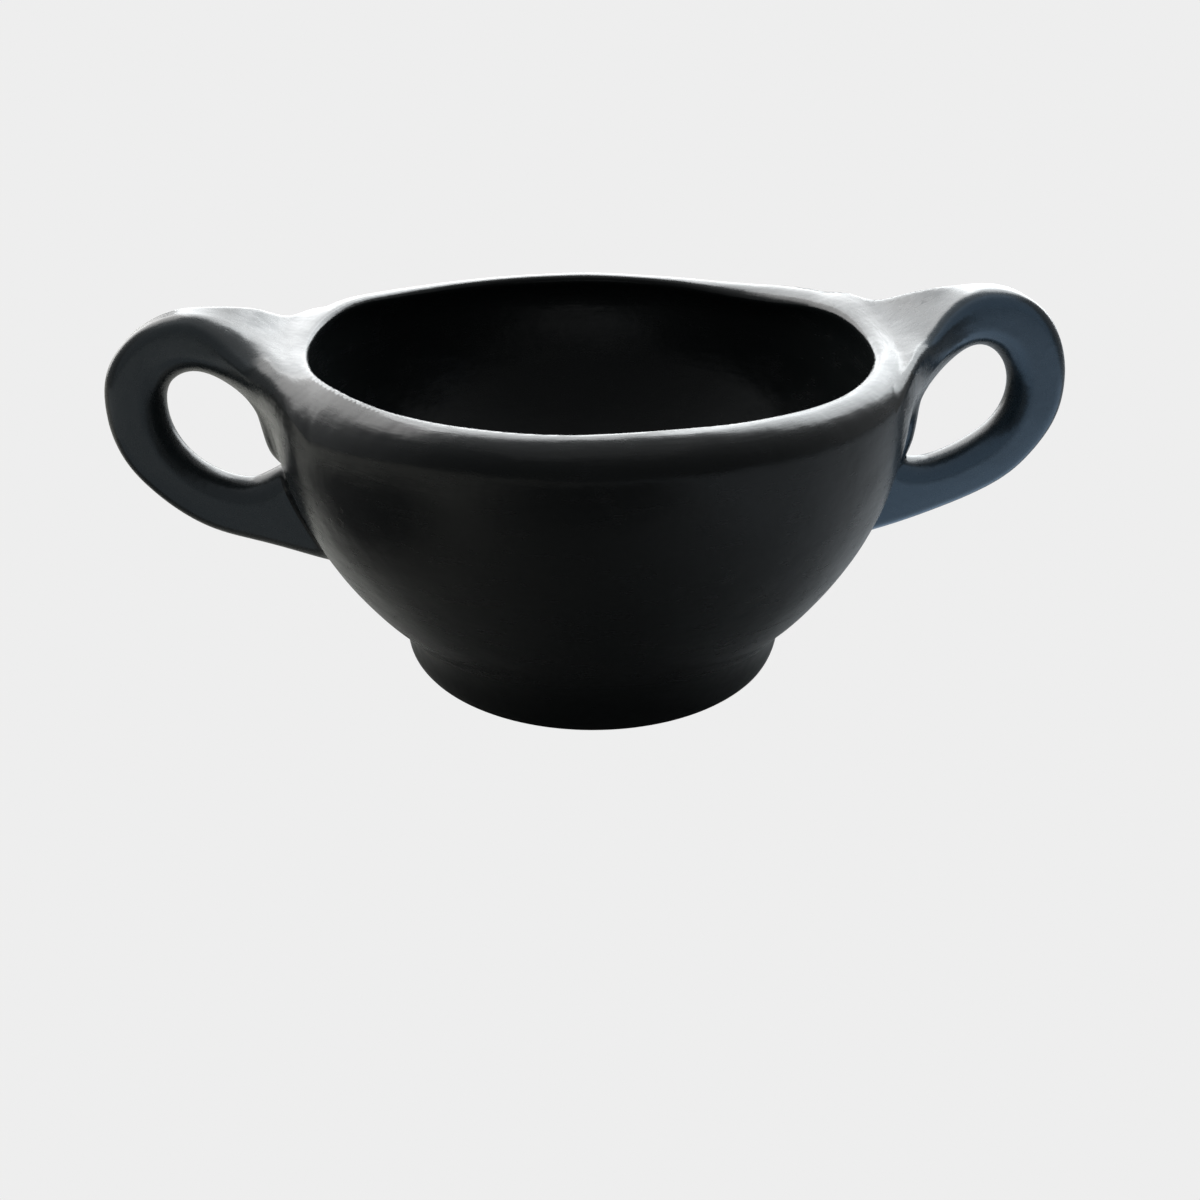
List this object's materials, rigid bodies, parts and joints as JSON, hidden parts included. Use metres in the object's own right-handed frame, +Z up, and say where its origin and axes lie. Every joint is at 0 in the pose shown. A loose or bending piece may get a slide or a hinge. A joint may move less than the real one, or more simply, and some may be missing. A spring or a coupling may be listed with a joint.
{
  "type": "two-handled bowl",
  "caption": "Rounded black earthenware bowl with a low foot ring, a thick rounded lip and a tall loop handle on each side, for serving soup or stew.",
  "frame": {"origin": "middle of the foot ring's flat resting face, on the surface that the bowl stands on", "axes": "+X from the bowl's axis towards right_handle, +Y away from the front, +Z up along the bowl's axis"},
  "size_m": [0.2296, 0.1526, 0.0944],
  "materials": {
    "burnished_clay": "smoke-blackened earthenware rubbed to a satin sheen, with fine burnishing streaks and a few small pits"
  },
  "bodies": {
    "root": {"foot_ring": "burnished_clay", "bowl_body": "burnished_clay", "rim_coil": "burnished_clay", "left_handle": "burnished_clay", "right_handle": "burnished_clay"}
  },
  "joints": []
}
